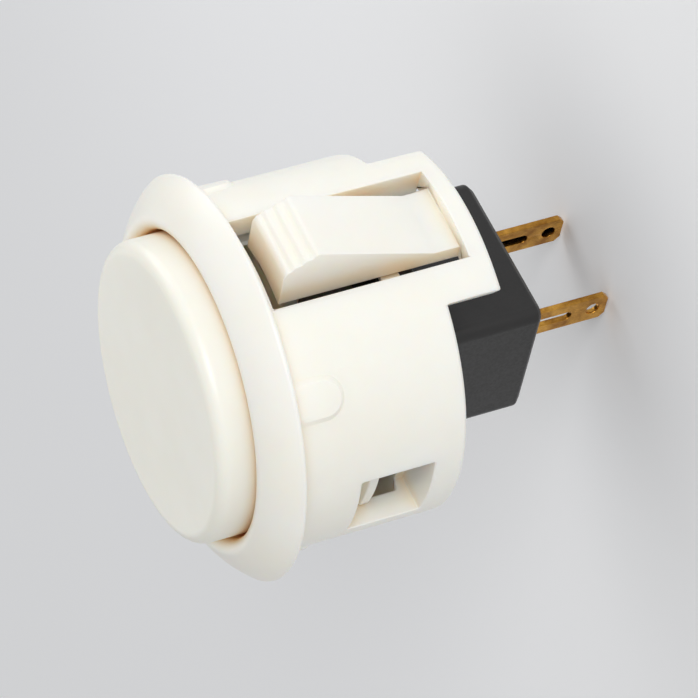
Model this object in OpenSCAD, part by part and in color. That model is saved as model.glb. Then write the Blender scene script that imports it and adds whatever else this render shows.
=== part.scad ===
// Snap-in push button for a game control panel, with its built-in switch.
// The origin is the centre of the rim's underside, which is the panel's face.
// +Z runs along the button's axis, out of the panel. The two latches lie on X.

/* [Panel hole] */
// Diameter of the hole in the panel
hole_d = 30; // [29.9:0.05:30.4]
// Gap between the barrel and the hole
barrel_gap = 0.35; // [0.2:0.05:0.6]
// Gap between the centring pads and the hole
pad_gap = 0.02; // [0.01:0.01:0.1]
// Angle of each pad from the latches
pad_angle = 47.5; // [46:0.5:50]
// Width of a pad at its foot
pad_w = 4.4; // [3:0.1:5]
// Length of a pad below the panel's face
pad_l = 5; // [4:0.1:6.5]
// Width of the slope around a pad
pad_slope = 0.85; // [0.4:0.05:1.1]

/* [Rim] */
// Width of the rim's border around the hole
rim_border = 1.6; // [1.3:0.1:3]
// Height of the rim above the panel
rim_h = 2.8; // [2.4:0.1:3.6]
// Height of the rim's thin outer edge
rim_edge = 0.3; // [0.15:0.05:0.6]
// Radius of the rim's sloping outer face
rim_slope_r = 8; // [6:0.5:12]
// Radius of the rounded lip around the plunger
rim_lip_r = 0.9; // [0.6:0.1:1.1]

/* [Barrel] */
// Thickness of the barrel's wall
wall_t = 2.1; // [1.85:0.05:2.25]
// Depth of the barrel below the panel's face
barrel_h = 14.6; // [14.4:0.1:16]
// Depth of the two ears below the panel's face
ear_h = 19.2; // [18.6:0.1:22]
// Half angle that each ear covers
ear_angle = 30.1; // [26:0.5:34]
// Bevel around the rear edges of the barrel and the ears
rear_bevel = 0.3; // [0.1:0.05:0.5]

/* [Latches] */
// Width of the opening around each latch
latch_window_w = 8.9; // [7.6:0.1:9.4]
// Start of that opening below the panel's face
latch_window_front = 0.85; // [0.6:0.05:1.2]
// Length of the ear behind that opening
latch_foot_l = 1.75; // [1.4:0.05:2.6]
// Width of the latch tongue
latch_w = 6; // [5:0.1:6.4]
// Distance from the panel's face to the front of the latch
latch_front = 2.12; // [2.1:0.01:2.4]
// How far the front of the latch stands outside the hole
latch_face = 0.35; // [0.2:0.05:0.8]
// Length of the slope behind the latch's front
latch_lead = 0.3; // [0.2:0.05:0.4]
// How far the latch's first step stands outside the hole
latch_step = 0.95; // [0.8:0.05:1.2]
// Number of steps that grip the panel
latch_steps = 3; // [2:1:3]
// Length of each step
latch_step_l = 0.86; // [0.7:0.02:0.95]
// Rise of each step
latch_step_rise = 0.45; // [0.3:0.01:0.5]
// Length of the slope between two steps
latch_step_slope = 0.28; // [0.15:0.01:0.35]
// Length of the latch's crest
latch_crest_l = 0.3; // [0.15:0.05:0.6]
// Thickness of the tongue at its root
latch_root_t = 0.9; // [0.75:0.05:1.25]
// Length of the flat root of the tongue
latch_root_l = 2.2; // [1.5:0.1:3]
// Room that the tongue has to bend into the barrel
latch_room = 0.95; // [0.9:0.05:1.2]
// Thickness of the two ribs inside the ear, beside the tongue
latch_rib_t = 0.9; // [0.7:0.1:1.2]
// Height of those ribs
latch_rib_h = 1.5; // [1.4:0.1:1.7]

/* [Plunger] */
// Gap between the plunger and the barrel
plunger_gap = 0.25; // [0.2:0.05:0.4]
// Height of the plunger above the panel's face at rest
plunger_h = 5.5; // [5:0.05:6.5]
// Radius around the edge of its face
plunger_edge_r = 1.1; // [0.4:0.05:1.2]
// Thickness of the plunger's face
plunger_t = 1.6; // [1.2:0.1:2]
// Thickness of its skirt and legs
skirt_t = 1.3; // [1:0.05:1.5]
// Depth of the skirt below the panel's face
skirt_l = 4.2; // [3.8:0.1:4.8]
// Width of the notches in the skirt behind the latches
skirt_notch_w = 10; // [9.6:0.1:11]
// Distance that the plunger travels
travel = 2.2; // [1.6:0.1:2.4]
// Diameter of the post that presses the switch
post_d = 5; // [4:0.1:6]
// Thickness of the ribs that stiffen the post
rib_t = 1.1; // [0.8:0.1:1.4]
// Depth of those ribs below the panel's face
rib_depth = 2.1; // [1:0.1:3.5]
// Turn of the first rib from the latches
rib_turn = 45; // [40:1:50]

/* [Plunger hooks] */
// Width of the windows that the hooks show in
hook_window_w = 7; // [6.6:0.1:7.4]
// Start of those windows below the panel's face
hook_window_front = 5.6; // [5.3:0.1:5.8]
// End of those windows below the panel's face
hook_window_rear = 11.9; // [11.6:0.1:12.1]
// Turn of the windows from the Y axis
hook_turn = -4.7; // [-8:0.1:0]
// Gap on each side of a hook in its window
hook_gap = 0.3; // [0.2:0.05:0.5]
// Height of the lip on a hook
hook_lip_t = 0.75; // [0.6:0.05:1.1]
// Depth of the hooks' tips below the panel's face
hook_depth = 8.1; // [7.8:0.1:8.4]
// Length of the lip on a hook
hook_lip_l = 0.85; // [0.6:0.05:1.1]
// Width of the slots beside each leg
leg_slot = 0.8; // [0.6:0.1:1.2]

/* [Switch case] */
// Width of the case between the ears
case_x = 12.6; // [12.2:0.1:13.6]
// Length of the case across the terminals
case_y = 14.5; // [14.3:0.1:15]
// Offset of the case's centre towards +Y
case_off = 0.75; // [0.6:0.05:0.9]
// Depth of the case's rear face below the panel's face
case_depth = 24.7; // [24.4:0.1:27]
// Thickness of the case's walls
case_wall = 1.4; // [1.2:0.05:1.45]
// Thickness of the case's floor
case_floor = 1.8; // [1.5:0.1:2.1]
// Radius of the case's corners
case_corner_r = 1; // [0.6:0.1:1.2]
// Bevel around the case's rear face
case_bevel = 0.5; // [0.2:0.1:0.8]
// Thickness of the round plate that fills the barrel
plate_t = 1.5; // [1.3:0.05:1.6]
// Gap around the round plate
plate_fit = 0.1; // [0.05:0.01:0.15]
// Height of the four catches that hold the plate
catch_h = 0.45; // [0.3:0.05:0.55]
// Angle from the Y axis to each catch
catch_angle = 38; // [34:1:42]
// Angle that each catch covers
catch_span = 12; // [10:1:14]
// Width of the ledge in front of the plate
ledge_w = 2.1; // [1.7:0.1:2.2]
// Thickness of that ledge
ledge_t = 1.2; // [0.9:0.1:1.3]
// Height of the slope on the ledge's front
ledge_rise = 0.6; // [0.3:0.1:0.7]

/* [Switch cover] */
// Thickness of the cover
cover_t = 1.6; // [1.3:0.1:1.8]
// Room that the pressed plunger leaves above the collar
collar_room = 0.4; // [0.3:0.05:0.5]
// Wall of the collar around the actuator
collar_t = 0.8; // [0.6:0.1:1.2]
// Depth of the cover's locating frame in the case
frame_l = 0.8; // [0.5:0.1:1.2]
// Width of that frame
frame_w = 0.6; // [0.4:0.05:0.7]
// Gap around the frame and the pegs
frame_gap = 0.05; // [0.03:0.01:0.1]
// Diameter of the two pegs that hold the cover
peg_d = 0.8; // [0.6:0.05:0.9]

/* [Switch actuator] */
// Diameter of the actuator's stem
stem_d = 3.2; // [2.8:0.1:3.4]
// Gap around the stem in the cover
stem_fit = 0.1; // [0.05:0.01:0.15]
// Height of the stem above the cover's face
stem_out = 3.1; // [3:0.05:3.3]
// Radius around the stem's end
stem_edge_r = 0.5; // [0.3:0.05:0.8]
// Thickness of the actuator's flange
flange_t = 1; // [0.8:0.1:1.2]
// Width of the flange over the spring
flange_w = 5; // [4.8:0.1:6]
// Gap at each end of the moving flange
flange_gap = 0.3; // [0.2:0.05:0.4]
// Length of the two feet that press the contact arm
foot_l = 1.46; // [1.2:0.02:1.7]
// Width of each foot
foot_w = 1; // [0.8:0.05:1.2]
// Length of the boss that centres the spring
boss_l = 1.5; // [1:0.1:2.5]
// Gap between the boss and the spring
boss_gap = 0.3; // [0.2:0.05:0.4]
// Gap between moving pieces that follow each other
touch_gap = 0.1; // [0.05:0.01:0.15]

/* [Return spring] */
// Outside diameter of the spring
spring_d = 4.2; // [4.1:0.05:4.4]
// Diameter of its wire
spring_wire = 0.35; // [0.25:0.01:0.4]
// Number of turns
spring_turns = 7; // [5:1:9]
// Gap between the closed turns at each end
spring_end_gap = 0.02; // [0.01:0.01:0.05]

/* [Terminals] */
// Width of a terminal blade
blade_w = 2.8; // [2.6:0.05:3]
// Thickness of a terminal blade
blade_t = 0.5; // [0.4:0.05:0.6]
// Depth of the terminals' tips below the panel's face
tip_depth = 33; // [32:0.1:35]
// Diameter of the wire hole
wire_hole_d = 1.2; // [1:0.05:1.4]
// Distance from the tip to the wire hole's centre
wire_hole_in = 1.25; // [1.1:0.05:1.6]
// Distance from the tip to the end of the slot
slot_in = 3.2; // [2.9:0.05:3.8]
// Width of the slot
slot_w = 0.9; // [0.7:0.05:1.1]
// Corner cut at the tip
tip_cut = 0.45; // [0.3:0.05:0.7]
// Length of the knife edge's slopes
knife_l = 0.35; // [0.2:0.05:0.5]
// Width of the knife edge
knife_t = 0.15; // [0.1:0.05:0.25]
// Length of the output terminal's tab beyond its contact
tab_margin = 0.3; // [0.1:0.05:0.35]

/* [Contacts] */
// Gap between the open contacts
contact_gap = 0.8; // [0.6:0.05:0.9]
// Diameter of a contact's head
contact_d = 2; // [1.6:0.1:2.2]
// Height of a contact's head
contact_h = 0.5; // [0.3:0.05:0.6]
// Bevel around a contact's face
contact_bevel = 0.15; // [0.05:0.05:0.25]
// Diameter of a contact's shank
shank_d = 1; // [0.8:0.05:1.2]
// Thickness of a contact's riveted end
rivet_t = 0.2; // [0.15:0.05:0.3]
// Gap between the fixed contact's riveted end and the blade
rivet_gap = 0.75; // [0.5:0.05:0.85]
// Thickness of the contact arm
arm_t = 0.2; // [0.15:0.05:0.25]
// Width of the arm's rails around the spring
rail_w = 0.9; // [0.8:0.05:1]
// Gap between the spring and the rails
rail_gap = 0.65; // [0.5:0.05:0.8]
// Gap between the spring and the arm's root
root_gap = 0.4; // [0.35:0.05:0.6]
// Gap between the spring and the arm's front bar
bar_gap = 0.35; // [0.3:0.05:0.5]
// Length of the arm on each side of its pivot
arm_root = 0.45; // [0.35:0.05:0.6]
// Width of the arm's metal around a contact
arm_margin = 0.2; // [0.1:0.05:0.3]

/* [Hidden] */
$fn = 96;
// Extra length that lets one cut pass through a face
over = 1;
// Depth that the pads, the ledge and the catches go into the barrel's wall
wall_lap = 0.3;
hole_r = hole_d / 2;
rim_r = hole_r + rim_border;
barrel_r = hole_r - barrel_gap;
bore_r = barrel_r - wall_t;
plunger_r = bore_r - plunger_gap;
pad_r = hole_r - pad_gap;
skirt_r = plunger_r - skirt_t;
hook_r = plunger_r + hook_lip_t;
leg_w = hook_window_w - 2 * hook_gap;
stem_r = stem_d / 2;
// The rim's sloping face is an arc that starts at the outer edge and meets
// the lip's arc on one tangent.
lip_c = [bore_r + rim_lip_r, rim_h - rim_lip_r];
edge_p = [rim_r, rim_edge];
edge_v = edge_p - lip_c;
edge_len = norm(edge_v);
arc_diff = rim_slope_r - rim_lip_r;
arc_along = (edge_len * edge_len + arc_diff * arc_diff - rim_slope_r * rim_slope_r)
            / (2 * edge_len);
arc_side = sqrt(arc_diff * arc_diff - arc_along * arc_along);
edge_u = edge_v / edge_len;
slope_c = lip_c + arc_along * edge_u + arc_side * [edge_u[1], -edge_u[0]];
slope_t = slope_c + rim_slope_r * (lip_c - slope_c) / norm(lip_c - slope_c);
// The latch's crest follows from its steps.
latch_step_r = hole_r + latch_step;
latch_root_r = bore_r + latch_root_t;
latch_window_rear = ear_h - latch_foot_l;
crest_r = latch_step_r + latch_steps * latch_step_rise;
crest_depth = latch_front + latch_steps * latch_step_l;
// Depths inside the switch, all below the panel's face
plate_front = barrel_h - catch_h - plate_t;
cover_front = plate_front - cover_t;
stem_top = cover_front - stem_out;
post_end = stem_top - touch_gap;
collar_top = post_end + travel + collar_room;
flange_front = plate_front + touch_gap;
flange_rear = flange_front + flange_t;
notch_x = bore_r - latch_rib_h - plate_fit;
notch_w = latch_window_w + 2 * (latch_rib_t + plate_fit);
cavity_floor = case_depth - case_floor;
cavity_x = case_x - 2 * case_wall;
cavity_y = case_y - 2 * case_wall;
frame_x = cavity_x - 2 * frame_gap;
frame_y = cavity_y - 2 * frame_gap;
peg_spots = [[-1, 1], [1, -1]];
// The arm surrounds the spring, and the terminals stand at its two ends.
rail_in = spring_d / 2 + rail_gap;
arm_w = 2 * (rail_in + rail_w);
common_y = spring_d / 2 + root_gap + arm_root;
contact_y = spring_d / 2 + bar_gap + arm_margin + contact_d / 2;
rivet_r = shank_d / 2 + rivet_t;
output_y = contact_y + rivet_r + rivet_gap + blade_t / 2;
// The arm swings until the moving contact's far edge all but touches, and
// the pressed feet then reach the rails.
swing = asin((contact_gap - touch_gap / 2) / (common_y + contact_y + contact_d / 2));
foot_drop = (common_y - foot_w / 2) * tan(swing);
arm_rear = flange_rear + foot_l + travel + touch_gap - foot_drop + arm_t;
pivot_depth = arm_rear + touch_gap / 2;
tab_front = arm_rear + contact_gap + 2 * contact_h;

// A rounded rectangle, centred, w by l with corners of radius r
module rounded(w, l, r) {
  square([w - 2 * r, l], center = true);
  square([w, l - 2 * r], center = true);
  for (sx = [-1, 1], sy = [-1, 1])
    translate([sx * (w / 2 - r), sy * (l / 2 - r)]) circle(r, $fn = 32);
}

// Half of the rim's section, from the bore to the outer edge
module rim_section() {
  intersection() {
    polygon([[bore_r, 0], [rim_r - rim_edge / 2, 0], edge_p,
             edge_p + [over, over], slope_t + [over, over], slope_t, lip_c,
             [bore_r, lip_c[1]]]);
    translate(slope_c) circle(rim_slope_r, $fn = 180);
  }
  translate(lip_c) circle(rim_lip_r);
}

// A wall ring below the panel's face, with a bevel around its rear edges
module wall_ring(depth) {
  rotate_extrude() polygon([
    [bore_r, 0], [barrel_r, 0], [barrel_r, -depth + rear_bevel],
    [barrel_r - rear_bevel, -depth], [bore_r + rear_bevel, -depth],
    [bore_r, -depth + rear_bevel]]);
}

// The ears are the barrel's wall, carried on behind the latches.
module ears() {
  intersection() {
    wall_ring(ear_h);
    for (a = [0, 180]) rotate([0, 0, a])
      linear_extrude(3 * ear_h, center = true)
        polygon([[0, 0],
                 2 * barrel_r * [cos(ear_angle), -sin(ear_angle)],
                 2 * barrel_r * [cos(ear_angle), sin(ear_angle)]]);
  }
}

// One pad that centres the button in the panel's hole
module pad() {
  foot_r = sqrt(barrel_r * barrel_r - pad_w * pad_w / 4) - wall_lap;
  rise = pad_r - foot_r;
  intersection() {
    cylinder(h = 4 * pad_l, r = pad_r, center = true);
    rotate([0, 90, 0]) translate([0, 0, foot_r]) {
      translate([pad_l - pad_w / 2, 0, 0])
        cylinder(h = rise, r1 = pad_w / 2, r2 = pad_w / 2 - pad_slope);
      rotate([0, 90, 0]) linear_extrude(pad_l - pad_w / 2)
        polygon([[0, -pad_w / 2], [-rise, -pad_w / 2 + pad_slope],
                 [-rise, pad_w / 2 - pad_slope], [0, pad_w / 2]]);
    }
  }
}

// The ledge that stops the switch from the front
module ledge() {
  rotate_extrude() polygon([
    [bore_r, -plate_front + ledge_t + ledge_rise],
    [bore_r - ledge_w, -plate_front + ledge_t],
    [bore_r - ledge_w, -plate_front], [bore_r + wall_lap, -plate_front],
    [bore_r + wall_lap, -plate_front + ledge_t + ledge_rise]]);
}

// The ribs beside one tongue, from the ledge to the end of its opening. They
// also keep the switch from turning.
module latch_ribs() {
  for (s = [-1, 1])
    translate([bore_r - latch_rib_h, s * (latch_window_w + latch_rib_t) / 2 - latch_rib_t / 2,
               -latch_window_rear])
      cube([latch_rib_h, latch_rib_t, latch_window_rear - plate_front + ledge_t / 2]);
}

// The catches that hold the switch from the rear
module catches() {
  for (a = [90, 270], s = [-1, 1])
    rotate([0, 0, a + s * catch_angle - catch_span / 2])
      rotate_extrude(angle = catch_span) polygon([
        [bore_r + wall_lap, -barrel_h + catch_h],
        [bore_r - catch_h, -barrel_h + catch_h],
        [bore_r, -barrel_h], [bore_r + wall_lap, -barrel_h]]);
}

// The side view of one latch tongue: radius against height
module latch_section() {
  polygon(concat(
    [[bore_r - over, -latch_front], [hole_r + latch_face, -latch_front],
     [latch_step_r, -latch_front - latch_lead]],
    [for (i = [1:latch_steps], end = [0, 1])
      [latch_step_r + (i - 1 + end) * latch_step_rise,
       -latch_front - i * latch_step_l + (1 - end) * latch_step_slope]],
    [[crest_r, -crest_depth - latch_crest_l],
     [latch_root_r, -latch_window_rear + latch_root_l],
     [latch_root_r, -latch_window_rear - over / 2],
     [bore_r - over, -latch_window_rear - over / 2]]));
}

// The tongue springs from its ear, with its free end forward.
module latch() {
  difference() {
    rotate([90, 0, 0]) linear_extrude(latch_w, center = true) latch_section();
    cylinder(h = 4 * ear_h, r = bore_r, center = true);
  }
}

module housing() color("ivory") {
  difference() {
    union() {
      rotate_extrude() rim_section();
      wall_ring(barrel_h);
      ears();
      for (a = [0, 180], s = [-1, 1]) rotate([0, 0, a + s * pad_angle]) pad();
      ledge();
      catches();
      for (a = [0, 180]) rotate([0, 0, a]) latch_ribs();
    }
    for (a = [0, 180]) rotate([0, 0, a]) {
      // The opening around a latch
      translate([bore_r - latch_room, -latch_window_w / 2, -latch_window_rear])
        cube([barrel_r, latch_window_w, latch_window_rear - latch_window_front]);
      // The window for a hook
      rotate([0, 0, hook_turn])
        translate([-hook_window_w / 2, -barrel_r - over, -hook_window_rear])
          cube([hook_window_w, barrel_r + over - skirt_r,
                hook_window_rear - hook_window_front]);
    }
  }
  for (a = [0, 180]) rotate([0, 0, a]) latch();
}

// The plunger's face, skirt, legs and hooks, as half a section
module plunger_section() {
  difference() {
    translate([0, -hook_depth])
      square([plunger_r, plunger_h - plunger_edge_r + hook_depth]);
    translate([0, -hook_depth - over])
      square([skirt_r, plunger_h - plunger_t + hook_depth + over]);
  }
  translate([skirt_r, -hook_depth]) square([hook_r - skirt_r, hook_lip_l]);
  translate([0, plunger_h - plunger_edge_r])
    square([plunger_r - plunger_edge_r, plunger_edge_r]);
  translate([plunger_r - plunger_edge_r, plunger_h - plunger_edge_r])
    edge_round(plunger_edge_r);
}

// A quarter disc that rounds the edge of a turned section
module edge_round(r) {
  intersection() {
    circle(r, $fn = 48);
    square(r);
  }
}

module plunger() color("linen") {
  difference() {
    union() {
      rotate_extrude() plunger_section();
      // The post and its ribs
      translate([0, 0, -post_end])
        cylinder(h = post_end + plunger_h - plunger_t / 2, d = post_d);
      for (a = [0, 90]) rotate([0, 0, rib_turn + a])
        translate([-skirt_r - skirt_t / 2, -rib_t / 2, -rib_depth])
          cube([2 * skirt_r + skirt_t, rib_t,
                plunger_h - plunger_t / 2 + rib_depth]);
    }
    // Behind the skirt only two legs stay, with the hooks at their tips.
    for (a = [0, 180]) rotate([0, 0, a + hook_turn])
      translate([leg_w / 2, -hook_r - over, -hook_depth - over])
        cube([hook_r + over, 2 * (hook_r + over), hook_depth + over - skirt_l]);
    // Room for the latches to bend in
    for (a = [0, 180]) rotate([0, 0, a])
      translate([skirt_r - over, -skirt_notch_w / 2, -skirt_l - over])
        cube([plunger_r, skirt_notch_w, skirt_l + over - latch_window_front]);
    // Slots that let the legs bend
    for (a = [0, 180], s = [-1, 1]) rotate([0, 0, a + hook_turn])
      translate([s * (leg_w + leg_slot) / 2 - leg_slot / 2,
                 -plunger_r - over, -skirt_l - over])
        cube([leg_slot, plunger_r, skirt_l + over - latch_window_front]);
  }
}

// What stands at each peg on the front of the case's wall
module at_pegs() {
  for (s = peg_spots)
    translate([s[0] * (case_x - case_wall) / 2,
               case_off + s[1] * (case_y / 2 - case_wall - peg_d), -plate_front])
      children();
}

// The slot through the case's floor for one terminal
module blade_slot(y) {
  translate([-blade_w / 2, y - blade_t / 2, -case_depth - over])
    cube([blade_w, blade_t, case_floor + 2 * over]);
}

module switch_case() color("dimgray") {
  difference() {
    union() {
      // The round plate that fills the rear of the barrel
      translate([0, 0, -plate_front - plate_t]) difference() {
        cylinder(h = plate_t, r = bore_r - plate_fit);
        // Notches for the ribs beside the latches
        for (s = [-1, 1])
          translate([s * (notch_x + barrel_r / 2), 0, plate_t / 2])
            cube([barrel_r, notch_w, 2 * plate_t], center = true);
      }
      // The box behind it, with its rear edges bevelled
      hull() {
        translate([0, case_off, -case_depth + case_bevel])
          linear_extrude(case_depth - case_bevel - plate_front - plate_t / 2)
            rounded(case_x, case_y, case_corner_r);
        translate([0, case_off, -case_depth]) linear_extrude(case_bevel)
          rounded(case_x - 2 * case_bevel, case_y - 2 * case_bevel,
                  case_corner_r - case_bevel / 2);
      }
      at_pegs() cylinder(h = cover_t, d = peg_d, $fn = 32);
    }
    // The cavity for the mechanism
    translate([0, case_off, -cavity_floor])
      linear_extrude(cavity_floor) rounded(cavity_x, cavity_y, case_corner_r / 2);
    blade_slot(-common_y);
    blade_slot(output_y);
  }
}

module switch_cover() color("black") {
  difference() {
    union() {
      translate([0, case_off, -plate_front]) linear_extrude(cover_t)
        rounded(case_x, case_y, case_corner_r);
      translate([0, 0, -plate_front])
        cylinder(h = plate_front - collar_top, r = stem_r + stem_fit + collar_t);
      // The frame that locates the cover in the case
      translate([0, case_off, -plate_front - frame_l]) linear_extrude(frame_l)
        difference() {
          rounded(frame_x, frame_y, case_corner_r / 2);
          square([frame_x - 2 * frame_w, frame_y - 2 * frame_w], center = true);
        }
    }
    translate([0, 0, -plate_front - over])
      cylinder(h = plate_front + over, r = stem_r + stem_fit);
    at_pegs() translate([0, 0, -over])
      cylinder(h = cover_t + 2 * over, d = peg_d + 2 * frame_gap, $fn = 32);
  }
}

module switch_actuator() color("whitesmoke") {
  flange_x = frame_x - 2 * frame_w - 2 * flange_gap;
  // The stem, with a rounded end
  translate([0, 0, -flange_rear]) rotate_extrude() {
    square([stem_r, flange_rear - stem_top - stem_edge_r]);
    square([stem_r - stem_edge_r, flange_rear - stem_top]);
    translate([stem_r - stem_edge_r, flange_rear - stem_top - stem_edge_r])
      edge_round(stem_edge_r);
  }
  translate([-flange_x / 2, -flange_w / 2, -flange_rear])
    cube([flange_x, flange_w, flange_t]);
  // The boss inside the spring
  translate([0, 0, -flange_rear - boss_l])
    cylinder(h = boss_l, d = spring_d - 2 * spring_wire - 2 * boss_gap);
  // The feet above the contact arm's rails
  for (s = [-1, 1])
    translate([s * (rail_in + rail_w / 2) - foot_w / 2, -foot_w / 2,
               -flange_rear - foot_l])
      cube([foot_w, foot_w, foot_l + flange_t]);
}

// A closed tube along a list of rings, each ring a list of points
module tube(rings) {
  n = len(rings[0]);
  m = len(rings);
  polyhedron(
    points = [for (r = rings) each r],
    faces = concat(
      [[for (i = [n - 1:-1:0]) i]],
      [for (j = [0:m - 2], i = [0:n - 1])
        [j * n + i, j * n + (i + 1) % n,
         (j + 1) * n + (i + 1) % n, (j + 1) * n + i]],
      [[for (i = [0:n - 1]) (m - 1) * n + i]]),
    convexity = 8);
}

// Height of the coil after t turns of a spring whose wire's centre line rises
// by h: the first and last turns lie closed.
function coil_z(t, h) =
  let (closed = spring_wire + spring_end_gap)
  t < 1 ? t * closed
  : t > spring_turns - 1 ? h - (spring_turns - t) * closed
  : closed + (t - 1) * (h - 2 * closed) / (spring_turns - 2);

module return_spring() color("silver") {
  mean_r = (spring_d - spring_wire) / 2;
  wire_r = spring_wire / 2;
  h = cavity_floor - flange_rear - spring_wire;
  sides = 8;
  steps = 16;
  translate([0, 0, -cavity_floor + wire_r])
    tube([for (k = [0:spring_turns * steps])
      let (t = k / steps, a = 360 * t)
      [for (i = [0:sides - 1])
        let (b = 360 * i / sides, r = mean_r + wire_r * cos(b))
        [r * cos(a), r * sin(a), coil_z(t, h) + wire_r * sin(b)]]]);
}

// A contact rivet: its head stands on z = 0, its shank goes through a sheet of
// thickness t, and its riveted end lies beyond.
module contact(t) {
  rotate_extrude($fn = 48) polygon([
    [0, 0], [contact_d / 2 - contact_bevel, 0], [contact_d / 2, contact_bevel],
    [contact_d / 2, contact_h], [shank_d / 2, contact_h],
    [shank_d / 2, contact_h + t], [rivet_r, contact_h + t],
    [rivet_r, contact_h + t + rivet_t], [0, contact_h + t + rivet_t]]);
}

module contact_arm() color("peru") {
  root_y = -common_y - arm_root;
  window_y = -common_y + arm_root;
  window_end = contact_y - contact_d / 2 - arm_margin;
  translate([0, 0, -arm_rear]) linear_extrude(arm_t) difference() {
    union() {
      translate([-arm_w / 2, root_y]) square([arm_w, window_end + rail_w - root_y]);
      translate([-contact_d / 2 - arm_margin, 0])
        square([contact_d + 2 * arm_margin, contact_y + contact_d / 2]);
    }
    translate([-rail_in, window_y]) square([2 * rail_in, window_end - window_y]);
    translate([0, contact_y]) circle(d = shank_d, $fn = 48);
  }
}

module moving_contact() color("gainsboro") {
  translate([0, contact_y, -arm_rear - contact_h]) contact(arm_t);
}

module fixed_contact() color("gainsboro") {
  translate([0, contact_y, -tab_front + contact_h])
    rotate([180, 0, 0]) contact(blade_t);
}

// A terminal's blade, from its tip up to the depth top
module blade(y, top) {
  translate([0, y, -tip_depth]) rotate([90, 0, 0])
    linear_extrude(blade_t, center = true) difference() {
      polygon([[-blade_w / 2 + tip_cut, 0], [blade_w / 2 - tip_cut, 0],
               [blade_w / 2, tip_cut], [blade_w / 2, tip_depth - top],
               [-blade_w / 2, tip_depth - top], [-blade_w / 2, tip_cut]]);
      translate([0, slot_in + slot_w / 2]) circle(d = slot_w, $fn = 32);
      translate([-slot_w / 2, slot_in + slot_w / 2])
        square([slot_w, tip_depth - case_depth + case_floor / 2 - slot_in - slot_w / 2]);
      translate([0, wire_hole_in]) circle(d = wire_hole_d, $fn = 48);
    }
}

module common_terminal() color("goldenrod") {
  blade(-common_y, pivot_depth + knife_l);
  // The knife edge that the contact arm rocks on
  translate([-blade_w / 2, -common_y, -pivot_depth]) rotate([90, 0, 90])
    linear_extrude(blade_w)
      polygon([[-blade_t / 2, -2 * knife_l], [blade_t / 2, -2 * knife_l],
               [blade_t / 2, -knife_l], [knife_t / 2, 0],
               [-knife_t / 2, 0], [-blade_t / 2, -knife_l]]);
}

module output_terminal() color("goldenrod") {
  blade(output_y, tab_front);
  tab_y = contact_y - contact_d / 2 - tab_margin;
  // The tab that is folded under the fixed contact
  difference() {
    translate([-blade_w / 2, tab_y, -tab_front - blade_t])
      cube([blade_w, output_y + blade_t / 2 - tab_y, blade_t]);
    translate([0, contact_y, -tab_front - blade_t - over])
      cylinder(h = blade_t + 2 * over, d = shank_d, $fn = 48);
  }
}

housing();
plunger();
switch_case();
switch_cover();
switch_actuator();
return_spring();
contact_arm();
moving_contact();
fixed_contact();
common_terminal();
output_terminal();
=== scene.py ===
import math

import bmesh
import bpy
import numpy as np
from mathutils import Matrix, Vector


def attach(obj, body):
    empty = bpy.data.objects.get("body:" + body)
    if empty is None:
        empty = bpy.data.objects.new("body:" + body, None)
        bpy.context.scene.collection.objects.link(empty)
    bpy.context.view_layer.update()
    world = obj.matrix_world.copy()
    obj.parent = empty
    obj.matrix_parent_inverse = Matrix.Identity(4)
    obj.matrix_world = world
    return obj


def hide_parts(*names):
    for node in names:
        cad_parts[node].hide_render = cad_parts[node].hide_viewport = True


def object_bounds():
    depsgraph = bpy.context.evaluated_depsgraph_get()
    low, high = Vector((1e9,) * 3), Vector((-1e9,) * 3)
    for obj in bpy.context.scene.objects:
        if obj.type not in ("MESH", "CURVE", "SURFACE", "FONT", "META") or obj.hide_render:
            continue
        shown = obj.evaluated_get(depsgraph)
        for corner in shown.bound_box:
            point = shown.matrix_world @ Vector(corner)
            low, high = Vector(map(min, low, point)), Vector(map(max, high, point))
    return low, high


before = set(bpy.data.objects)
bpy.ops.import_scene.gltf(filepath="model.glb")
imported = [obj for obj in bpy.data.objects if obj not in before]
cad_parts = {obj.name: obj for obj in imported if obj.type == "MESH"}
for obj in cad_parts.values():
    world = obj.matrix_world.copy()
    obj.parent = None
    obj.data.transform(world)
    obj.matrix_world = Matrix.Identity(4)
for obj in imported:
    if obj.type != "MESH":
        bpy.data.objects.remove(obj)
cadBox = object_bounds()
print("frame loaded:", len(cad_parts), "nodes")

mm = 0.001   # every length below is in millimetres times mm


# camera: where the photograph was taken from, in the button's own frame
cameraView = {
    "location": (276.14, -180.0, 112.83),   # mm
    "rotation": (-35.281, 64.445, -71.106),  # degrees, XYZ
    "lens": 228.14,      # mm on a 36 mm wide sensor, for a square image
    "sensor": 36.0,
}


def addCamera(view):
    data = bpy.data.cameras.new("photoCamera")
    data.lens = view["lens"]
    data.sensor_width = view["sensor"]
    data.clip_start = 5 * mm
    camera = bpy.data.objects.new("photoCamera", data)
    camera.location = Vector(view["location"]) * mm
    camera.rotation_euler = [math.radians(a) for a in view["rotation"]]
    bpy.context.scene.collection.objects.link(camera)
    bpy.context.scene.camera = camera


addCamera(cameraView)
print("camera placed")


def hexColor(text):
    # sRGB hex to linear RGBA
    srgb = np.array([int(text[i:i + 2], 16) for i in (1, 3, 5)]) / 255
    linear = np.where(srgb <= 0.04045, srgb / 12.92, ((srgb + 0.055) / 1.055) ** 2.4)
    return (*linear.tolist(), 1.0)


def addNode(tree, kind, inputs=None, **settings):
    # one shader node: settings are its own properties, and each input is a
    # fixed value or the socket that feeds it
    node = tree.nodes.new("ShaderNode" + kind)
    for name, value in settings.items():
        setattr(node, name, value)
    for name, value in (inputs or {}).items():
        if isinstance(value, bpy.types.NodeSocket):
            tree.links.new(value, node.inputs[name])
        else:
            node.inputs[name].default_value = value
    return node


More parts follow.
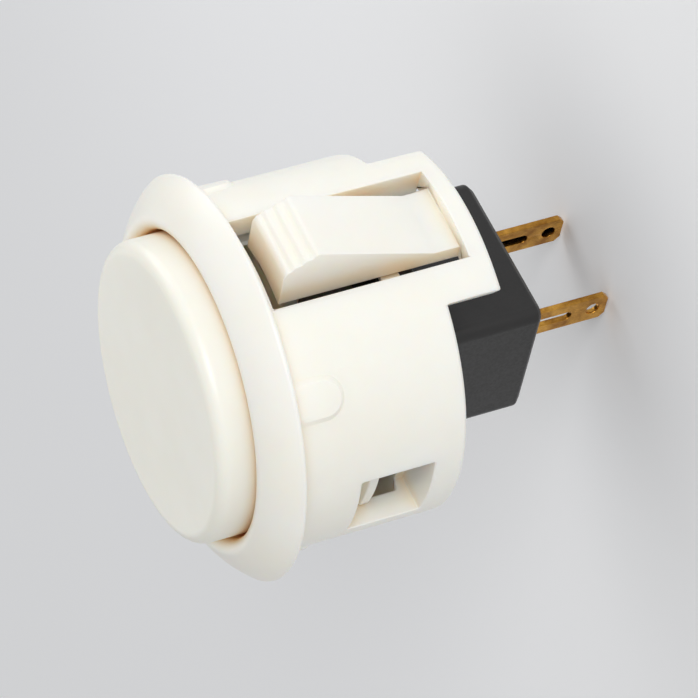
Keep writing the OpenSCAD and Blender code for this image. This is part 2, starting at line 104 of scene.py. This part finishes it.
def startMaterial(name):
    material = bpy.data.materials.new(name)
    material.use_nodes = True
    tree = material.node_tree
    tree.nodes.clear()
    place = addNode(tree, "TexCoord").outputs["Object"]
    return material, tree, place


def perMm(size):
    # texture scale that gives features of this size in mm
    return 1 / (size * mm)


def setRamp(node, stops):
    # each stop is a place from 0 to 1 and a colour
    for place, tone in stops[1:-1]:
        node.color_ramp.elements.new(place)
    for element, (place, tone) in zip(node.color_ramp.elements, stops):
        element.position = place
        element.color = hexColor(tone)


noiseRange = (0.3, 0.7)   # where nearly all values of a noise texture lie


def addGrain(tree, noise, roughness, strength, depth):
    # one noise makes the surface rougher and smoother and also bumps it
    rough = addNode(tree, "MapRange", {
        "Value": noise.outputs["Fac"], "From Min": noiseRange[0], "From Max": noiseRange[1],
        "To Min": roughness[0], "To Max": roughness[1]})
    bump = addNode(tree, "Bump", {"Height": noise.outputs["Fac"], "Strength": strength,
                                  "Distance": depth * mm})
    return rough, bump


def plasticMaterial(name, look):
    # a moulded plastic: colour drifts slowly where the melt flowed, the
    # mould's fine texture breaks up the highlight, and corners and gaps get
    # painted shade, a warm and darker tone set by how little open sky they see
    material, tree, place = startMaterial(name)
    flow = addNode(tree, "TexNoise", {"Vector": place, "Scale": perMm(look["flowSize"]),
                                      "Detail": 3.0, "Roughness": 0.55})
    grain = addNode(tree, "TexNoise", {"Vector": place, "Scale": perMm(look["grainSize"]),
                                       "Detail": 2.0, "Roughness": 0.6})
    tint = addNode(tree, "ValToRGB", {"Fac": flow.outputs["Fac"]})
    setRamp(tint, [(0.3, look["colorDeep"]), (0.7, look["color"])])
    # painted shade: ambient occlusion finds corners and gaps, the ramp turns that into a warm,
    # darker tone, and the mix multiplies it into the plastic's colour
    corners = addNode(tree, "AmbientOcclusion", {"Distance": look["paintedShadeReach"] * mm},
                      samples=8)
    paintedShadeTone = addNode(tree, "ValToRGB", {"Fac": corners.outputs["AO"]})
    setRamp(paintedShadeTone, look["paintedShadeColors"])
    color = addNode(tree, "Mix", {0: 1.0, 6: tint.outputs["Color"], 7: paintedShadeTone.outputs["Color"]},
                    data_type="RGBA", blend_type="MULTIPLY")
    rough, bump = addGrain(tree, grain, look["roughness"], look["grain"], look["grainDepth"])
    shader = addNode(tree, "BsdfPrincipled", {
        "Base Color": color.outputs[2], "Roughness": rough.outputs["Result"],
        "IOR": look["ior"], "Normal": bump.outputs["Normal"],
        "Subsurface Weight": look["glow"], "Subsurface Radius": look["glowColor"],
        "Subsurface Scale": look["glowDepth"] * mm})
    addNode(tree, "OutputMaterial", {"Surface": shader.outputs["BSDF"]})
    return material


def metalMaterial(name, look):
    # a stamped strip metal: rolling lines run along the part, and a thin
    # tarnish darkens it in soft patches
    material, tree, place = startMaterial(name)
    along = addNode(tree, "Mapping", {"Vector": place, "Scale": look["lineStretch"]})
    lines = addNode(tree, "TexNoise", {"Vector": along.outputs["Vector"],
                                       "Scale": perMm(look["lineSize"]), "Detail": 2.0})
    patches = addNode(tree, "TexNoise", {"Vector": place, "Scale": perMm(look["patchSize"]),
                                         "Detail": 4.0, "Roughness": 0.6})
    tint = addNode(tree, "ValToRGB", {"Fac": patches.outputs["Fac"]})
    setRamp(tint, [(0.34, look["colorDull"]), (0.62, look["color"])])
    rough, bump = addGrain(tree, lines, look["roughness"], look["lines"], look["lineDepth"])
    shader = addNode(tree, "BsdfPrincipled", {
        "Base Color": tint.outputs["Color"], "Metallic": 1.0,
        "Roughness": rough.outputs["Result"], "Normal": bump.outputs["Normal"]})
    addNode(tree, "OutputMaterial", {"Surface": shader.outputs["BSDF"]})
    return material


# painted shade: each stop is a share of open sky and the tone painted there, from deep gaps to
# open faces
warmPaintedShade = [(0.0, "#F4C88C"), (0.2, "#FFE4C4"), (0.5, "#FFF5E8"), (0.85, "#FFFFFF")]
palePaintedShade = [(0.0, "#F6D6AC"), (0.25, "#FFF0DE"), (0.6, "#FFFFFF")]
noPaintedShade = [(0.0, "#FFFFFF"), (1.0, "#FFFFFF")]

# warm white ABS, injection moulded in a satin mould: soft highlights, a faint
# glow in thin walls, and a painted peach shade in its corners and gaps
housingAbs = plasticMaterial("housing ABS, moulded warm white", {
    "color": "#FBF8F0", "colorDeep": "#F9F4E9", "flowSize": 9.0,
    "grainSize": 0.25, "grain": 0.12, "grainDepth": 0.003,
    "roughness": (0.3, 0.38), "ior": 1.53,
    "glow": 0.5, "glowColor": (1.0, 0.75, 0.55), "glowDepth": 2.0,
    "paintedShadeReach": 2.4, "paintedShadeColors": warmPaintedShade,
})
# the plunger's ABS gets a paler painted shade in its corners and gaps
plungerAbs = plasticMaterial("plunger ABS, moulded warm white", {
    "color": "#F8F6EC", "colorDeep": "#F4F2E6", "flowSize": 8.0,
    "grainSize": 0.25, "grain": 0.1, "grainDepth": 0.003,
    "roughness": (0.3, 0.38), "ior": 1.53,
    "glow": 0.4, "glowColor": (1.0, 0.75, 0.55), "glowDepth": 1.5,
    "paintedShadeReach": 1.6, "paintedShadeColors": palePaintedShade,
})
# black glass-filled PBT, moulded: satin, with the short fibres as fine specks
switchPbt = plasticMaterial("switch PBT, moulded black", {
    "color": "#161413", "colorDeep": "#110F0E", "flowSize": 4.0,
    "grainSize": 0.22, "grain": 0.4, "grainDepth": 0.008,
    "roughness": (0.36, 0.5), "ior": 1.55,
    "glow": 0.0, "glowColor": (1.0, 1.0, 1.0), "glowDepth": 0.1,
    "paintedShadeReach": 2.0, "paintedShadeColors": noPaintedShade,
})
# natural acetal, moulded: waxy white and smooth, with a warm painted shade in its corners and
# gaps
actuatorAcetal = plasticMaterial("actuator acetal, moulded natural", {
    "color": "#EDEBE4", "colorDeep": "#E6E3DA", "flowSize": 3.0,
    "grainSize": 0.25, "grain": 0.15, "grainDepth": 0.004,
    "roughness": (0.28, 0.36), "ior": 1.48,
    "glow": 0.2, "glowColor": (1.0, 0.8, 0.6), "glowDepth": 0.8,
    "paintedShadeReach": 2.0, "paintedShadeColors": warmPaintedShade,
})
# brass strip, stamped: rolled grain along the blade and a brown tarnish
terminalBrass = metalMaterial("terminal brass, stamped strip", {
    "color": "#DCA54C", "colorDull": "#9E6A2A", "patchSize": 1.6,
    "lineStretch": (1.0, 1.0, 0.08), "lineSize": 0.14,
    "lines": 0.35, "lineDepth": 0.006, "roughness": (0.22, 0.36),
})
# phosphor bronze strip, stamped: redder than the brass
armBronze = metalMaterial("arm phosphor bronze, stamped strip", {
    "color": "#D39A6A", "colorDull": "#AF7548", "patchSize": 1.4,
    "lineStretch": (1.0, 0.08, 1.0), "lineSize": 0.14,
    "lines": 0.35, "lineDepth": 0.005, "roughness": (0.22, 0.36),
})
# silver alloy, headed: bright with a soft grey film
contactSilver = metalMaterial("contact silver alloy, headed", {
    "color": "#E3E1DC", "colorDull": "#BFBBB2", "patchSize": 0.7,
    "lineStretch": (1.0, 1.0, 1.0), "lineSize": 0.16,
    "lines": 0.2, "lineDepth": 0.004, "roughness": (0.2, 0.34),
})
# carbon steel wire, drawn: grey with fine draw lines
springSteel = metalMaterial("spring steel, drawn wire", {
    "color": "#B9B9BC", "colorDull": "#98989C", "patchSize": 0.9,
    "lineStretch": (1.0, 1.0, 4.0), "lineSize": 0.2,
    "lines": 0.25, "lineDepth": 0.003, "roughness": (0.24, 0.36),
})
print("materials made")


def markEdges(data, edge):
    # a weight of 1 on each edge that turns by more than the angle, 0 elsewhere,
    # and less inside a zone: its radius from the axis, height and distance
    # along Y. In a zone without rounding, edges above the zone's angle are creases
    points = np.empty(len(data.vertices) * 3)
    data.vertices.foreach_get("co", points)
    points = points.reshape(-1, 3) / mm
    ends = np.empty(len(data.edges) * 2, int)
    data.edges.foreach_get("vertices", ends)
    middle = points[ends.reshape(-1, 2)].mean(axis=1)
    faceNormals = np.empty(len(data.polygons) * 3)
    data.polygons.foreach_get("normal", faceNormals)
    faceNormals = faceNormals.reshape(-1, 3)
    loopEdge = np.empty(len(data.loops), int)
    data.loops.foreach_get("edge_index", loopEdge)
    loopFace = np.repeat(np.arange(len(data.polygons)), [p.loop_total for p in data.polygons])
    order = np.argsort(loopEdge, kind="stable")
    sides = loopFace[order].reshape(-1, 2)   # the two faces of each edge
    cosine = (faceNormals[sides[:, 0]] * faceNormals[sides[:, 1]]).sum(axis=1)
    weights = (cosine < math.cos(math.radians(edge["angle"]))).astype(float)
    creases = np.zeros(len(weights), bool)
    radius = np.hypot(middle[:, 0], middle[:, 1])
    for (inner, outer), (low, high), (near, far), share in edge["zones"]:
        along = np.abs(middle[:, 1])
        inside = ((radius > inner) & (radius < outer) & (middle[:, 2] > low)
                  & (middle[:, 2] < high) & (along > near) & (along < far))
        weights[inside] *= share
        if share == 0:
            creases |= inside & (cosine < math.cos(math.radians(edge["crease"])))
    data.attributes.new("bevel_weight_edge", "FLOAT", "EDGE").data.foreach_set("value", weights)
    data.attributes.new("sharp_edge", "BOOLEAN", "EDGE").data.foreach_set("value", creases)


def mouldedCopy(node, piece, material, body, edge):
    # the CAD node's own shape as one closed mesh with rounded edges: its
    # triangles are joined, flat areas become single faces, and every edge
    # sharper than edge["angle"] gets a radius
    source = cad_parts[node]
    mesh = bmesh.new()
    mesh.from_mesh(source.data)
    bmesh.ops.remove_doubles(mesh, verts=mesh.verts, dist=edge["join"] * mm)
    bmesh.ops.dissolve_limit(mesh, angle_limit=math.radians(edge["flat"]),
                             verts=mesh.verts, edges=mesh.edges, delimit=set())
    data = bpy.data.meshes.new(piece)
    mesh.to_mesh(data)
    mesh.free()
    data.shade_smooth()
    markEdges(data, edge)
    data.materials.clear()
    data.materials.append(material)
    copy = bpy.data.objects.new(piece, data)
    bpy.context.scene.collection.objects.link(copy)
    bevel = copy.modifiers.new("roundedEdges", "BEVEL")
    bevel.width = edge["radius"] * mm
    bevel.segments = edge["segments"]
    bevel.limit_method = "WEIGHT"
    bevel.use_clamp_overlap = False
    bevel.miter_outer = "MITER_ARC"
    normals = copy.modifiers.new("flatFaces", "WEIGHTED_NORMAL")
    normals.keep_sharp = True
    normals.weight = 100
    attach(copy, body)
    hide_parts(node)
    print(piece, "made,", len(data.polygons), "faces before rounding")


edgeRound = {"join": 0.002, "flat": 0.4, "radius": 0.14, "segments": 3, "angle": 38.0,
             "crease": 8.0, "zones": []}
# each zone: radius, height and distance along Y in mm, and the share of the
# radius that stays: none on the low pads and at the latches' roots, a third on
# the latches' fine steps
housingRound = {**edgeRound, "zones": [
    ((14.5, 15.2), (-5.4, -0.05), (6.0, 14.0), 0.0),
    ((13.0, 15.4), (-18.6, -17.0), (0.0, 4.7), 0.0),
    ((12.4, 18.0), (-17.0, -2.0), (0.0, 3.1), 0.35),
]}
mouldedCopy("housing", "housingMoulding", housingAbs, "housing", housingRound)
mouldedCopy("plunger", "plungerMoulding", plungerAbs, "plunger", edgeRound)
mouldedCopy("switch_case", "caseMoulding", switchPbt, "housing", edgeRound)
mouldedCopy("switch_cover", "coverMoulding", switchPbt, "housing",
            {**edgeRound, "radius": 0.1})
mouldedCopy("switch_actuator", "actuatorMoulding", actuatorAcetal,
            "actuator", {**edgeRound, "radius": 0.1})
stamped = {**edgeRound, "radius": 0.06, "segments": 2}
mouldedCopy("common_terminal", "commonBlade", terminalBrass, "housing", stamped)
mouldedCopy("output_terminal", "outputBlade", terminalBrass, "housing", stamped)

for node, material in (("contact_arm", armBronze), ("moving_contact", contactSilver),
                       ("fixed_contact", contactSilver), ("return_spring", springSteel)):
    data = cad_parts[node].data
    data.materials.clear()
    data.materials.append(material)
print("finishes set")


# studio: a pale floor under the terminals' tips and large soft lamps
studio = {
    "floorColor": "#F7F8FA",
    "floorGap": 0.3,        # mm below the terminals' tips
    "floorSize": 4000.0,    # mm
    "worldLevel": 0.56,     # share of full light that comes from all around
    # name: direction from the button, distance and width in mm, share of full light
    "lamps": {
        "keyLamp": ((0.88, -0.38, 0.3), 600.0, 300.0, 0.42),
        "nearLamp": ((0.35, 0.9, 0.3), 140.0, 90.0, 0.2),
        "backLamp": ((-0.75, 0.60, 0.45), 600.0, 420.0, 0.06),
    },
}


def addFloor(look):
    half = look["floorSize"] * mm / 2
    height = cadBox[0][2] - look["floorGap"] * mm
    corners = [(-half, -half, height), (half, -half, height),
               (half, half, height), (-half, half, height)]
    data = bpy.data.meshes.new("studioFloor")
    data.from_pydata(corners, [], [(0, 1, 2, 3)])
    floor = bpy.data.objects.new("studioFloor", data)
    bpy.context.scene.collection.objects.link(floor)
    material, tree, place = startMaterial("paper floor, matt pale grey")
    paper = addNode(tree, "BsdfDiffuse", {"Color": hexColor(look["floorColor"])})
    clear = addNode(tree, "BsdfTransparent")
    side = addNode(tree, "NewGeometry")
    # seen from below, the floor lets the view through
    mix = addNode(tree, "MixShader", {0: side.outputs["Backfacing"], 1: paper.outputs[0],
                                      2: clear.outputs[0]})
    addNode(tree, "OutputMaterial", {"Surface": mix.outputs[0]})
    data.materials.append(material)


def addLamps(look):
    for name, (direction, distance, width, level) in look["lamps"].items():
        data = bpy.data.lights.new(name, "AREA")
        data.shape = "DISK"
        data.size = width * mm
        # a panel of this power lights a white face at the button to the level
        data.energy = level * (math.pi * distance * mm) ** 2
        lamp = bpy.data.objects.new(name, data)
        way = Vector(direction).normalized()
        lamp.location = way * distance * mm
        lamp.rotation_euler = way.to_track_quat("Z", "Y").to_euler()
        lamp.visible_camera = False   # the near lamp would show in other views
        bpy.context.scene.collection.objects.link(lamp)


def setWorld(level):
    world = bpy.data.worlds.new("studioWorld")
    world.use_nodes = True
    world.node_tree.nodes["Background"].inputs["Color"].default_value = (1, 1, 1, 1)
    world.node_tree.nodes["Background"].inputs["Strength"].default_value = level
    bpy.context.scene.world = world


addFloor(studio)
addLamps(studio)
setWorld(studio["worldLevel"])
bpy.context.scene.view_settings.view_transform = "Standard"
print("studio lit")
